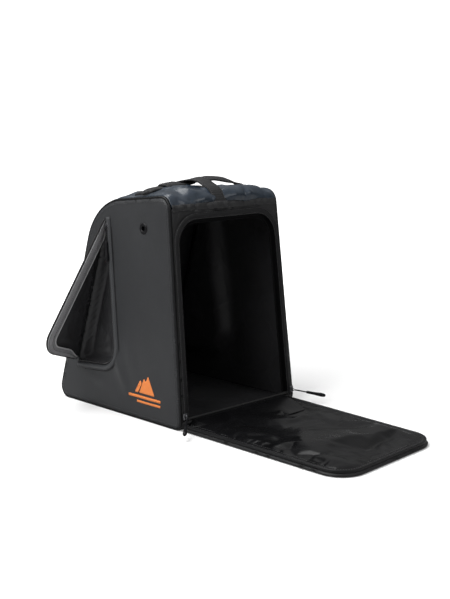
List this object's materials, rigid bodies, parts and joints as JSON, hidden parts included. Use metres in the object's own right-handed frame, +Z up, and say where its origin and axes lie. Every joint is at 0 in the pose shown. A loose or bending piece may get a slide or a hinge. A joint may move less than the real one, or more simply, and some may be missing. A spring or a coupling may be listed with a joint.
{
  "type": "ski boot bag",
  "caption": "Soft ski boot bag with a fold-down front door that serves as a mat, zipped side pockets, vents and a four-legged top carry handle.",
  "frame": {"origin": "centre of the bag's base, on its underside", "axes": "+Z up, -Y towards the bag's front opening and its door, -X towards the bag's left side as seen from the front"},
  "size_m": [0.4199, 0.7078, 0.4348],
  "materials": {
    "coated_fabric": "matte coated",
    "frame_fabric": "woven matte",
    "tarpaulin": "satin coated",
    "glossy_lining": "glossy coated",
    "stiff_board": "matte",
    "piping": "satin",
    "edge_band": "woven satin",
    "zip_chain": "satin",
    "webbing": "ribbed weave",
    "rubber": "moulded matte",
    "slider_metal": "gunmetal"
  },
  "bodies": {
    "bag": {"back_board": "stiff_board", "back_panel": "coated_fabric", "base_board": "stiff_board", "base_panel": "frame_fabric", "front_frame": "frame_fabric", "front_sill": "frame_fabric", "front_zip_fixed": "zip_chain", "handle_anchor_back": "webbing", "handle_anchor_front": "webbing", "handle_anchor_left": "webbing", "handle_anchor_right": "webbing", "handle_grip": "webbing", "handle_strap_cross": "webbing", "handle_strap_long": "webbing", "piping_left": "piping", "piping_right": "piping", "pocket_facing_left": "frame_fabric", "pocket_facing_right": "frame_fabric", "pocket_liner_left": "glossy_lining", "pocket_liner_right": "glossy_lining", "pocket_zip_left": "zip_chain", "pocket_zip_right": "zip_chain", "side_panel_left": "coated_fabric", "side_panel_right": "coated_fabric", "top_panel": "tarpaulin", "vent_eyelet_left": "rubber", "vent_eyelet_right": "rubber", "vent_washer_left": "slider_metal", "vent_washer_right": "slider_metal"},
    "door": {"door_shell": "frame_fabric", "door_lining": "glossy_lining", "door_zip": "zip_chain", "door_rim": "piping"},
    "door_slider_left": {"door_slider_left": "slider_metal"},
    "door_slider_right": {"door_slider_right": "slider_metal"},
    "door_pull_left": {"door_pull_left": "rubber"},
    "door_pull_right": {"door_pull_right": "rubber"},
    "flap_left": {"flap_shell_left": "coated_fabric", "flap_lining_left": "glossy_lining", "flap_band_left": "edge_band", "flap_zip_left": "zip_chain"},
    "flap_right": {"flap_shell_right": "coated_fabric", "flap_lining_right": "glossy_lining", "flap_band_right": "edge_band", "flap_zip_right": "zip_chain"},
    "pocket_slider_left": {"pocket_slider_left": "slider_metal"},
    "pocket_slider_right": {"pocket_slider_right": "slider_metal"},
    "pocket_pull_left": {"pocket_pull_left": "rubber"},
    "pocket_pull_right": {"pocket_pull_right": "rubber"}
  },
  "joints": [
    {"name": "door_fold", "type": "hinge", "parent": "bag", "child": "door", "pos_m": [0, -0.17689, 0.01114], "axis": [-1, 0, 0], "range_deg": [0, 95.7]},
    {"name": "door_zip_left", "type": "slide", "parent": "bag", "child": "door_slider_left", "axis": [0.0219, 0.0995, 0.9948], "range_m": [0, 0.28]},
    {"name": "door_zip_right", "type": "slide", "parent": "bag", "child": "door_slider_right", "axis": [-0.0219, 0.0995, 0.9948], "range_m": [0, 0.28]},
    {"name": "door_pull_left_swing", "type": "hinge", "parent": "door_slider_left", "child": "door_pull_left", "pos_m": [-0.13733, -0.18138, 0.02647], "axis": [1, 0, 0], "range_deg": [-50, 50]},
    {"name": "door_pull_right_swing", "type": "hinge", "parent": "door_slider_right", "child": "door_pull_right", "pos_m": [0.13733, -0.18138, 0.02647], "axis": [1, 0, 0], "range_deg": [-50, 50]},
    {"name": "flap_left_fold", "type": "hinge", "parent": "bag", "child": "flap_left", "pos_m": [-0.13512, 0.033, 0.36284], "axis": [0.0287, -0.2877, 0.9573], "range_deg": [0, 80]},
    {"name": "flap_right_fold", "type": "hinge", "parent": "bag", "child": "flap_right", "pos_m": [0.13512, 0.033, 0.36284], "axis": [-0.0287, -0.2877, 0.9573], "range_deg": [0, 80]},
    {"name": "pocket_zip_left", "type": "slide", "parent": "bag", "child": "pocket_slider_left", "axis": [-0.0298, -0.1084, -0.9937], "range_m": [0, 0.21]},
    {"name": "pocket_zip_right", "type": "slide", "parent": "bag", "child": "pocket_slider_right", "axis": [0.0298, -0.1084, -0.9937], "range_m": [0, 0.21]},
    {"name": "pocket_pull_left_swing", "type": "hinge", "parent": "pocket_slider_left", "child": "pocket_pull_left", "pos_m": [-0.14229, 0.02656, 0.34363], "axis": [-0.0033, 0.9941, -0.1084], "range_deg": [0, 100]},
    {"name": "pocket_pull_right_swing", "type": "hinge", "parent": "pocket_slider_right", "child": "pocket_pull_right", "pos_m": [0.14229, 0.02656, 0.34363], "axis": [-0.0033, -0.9941, 0.1084], "range_deg": [0, 100]}
  ]
}
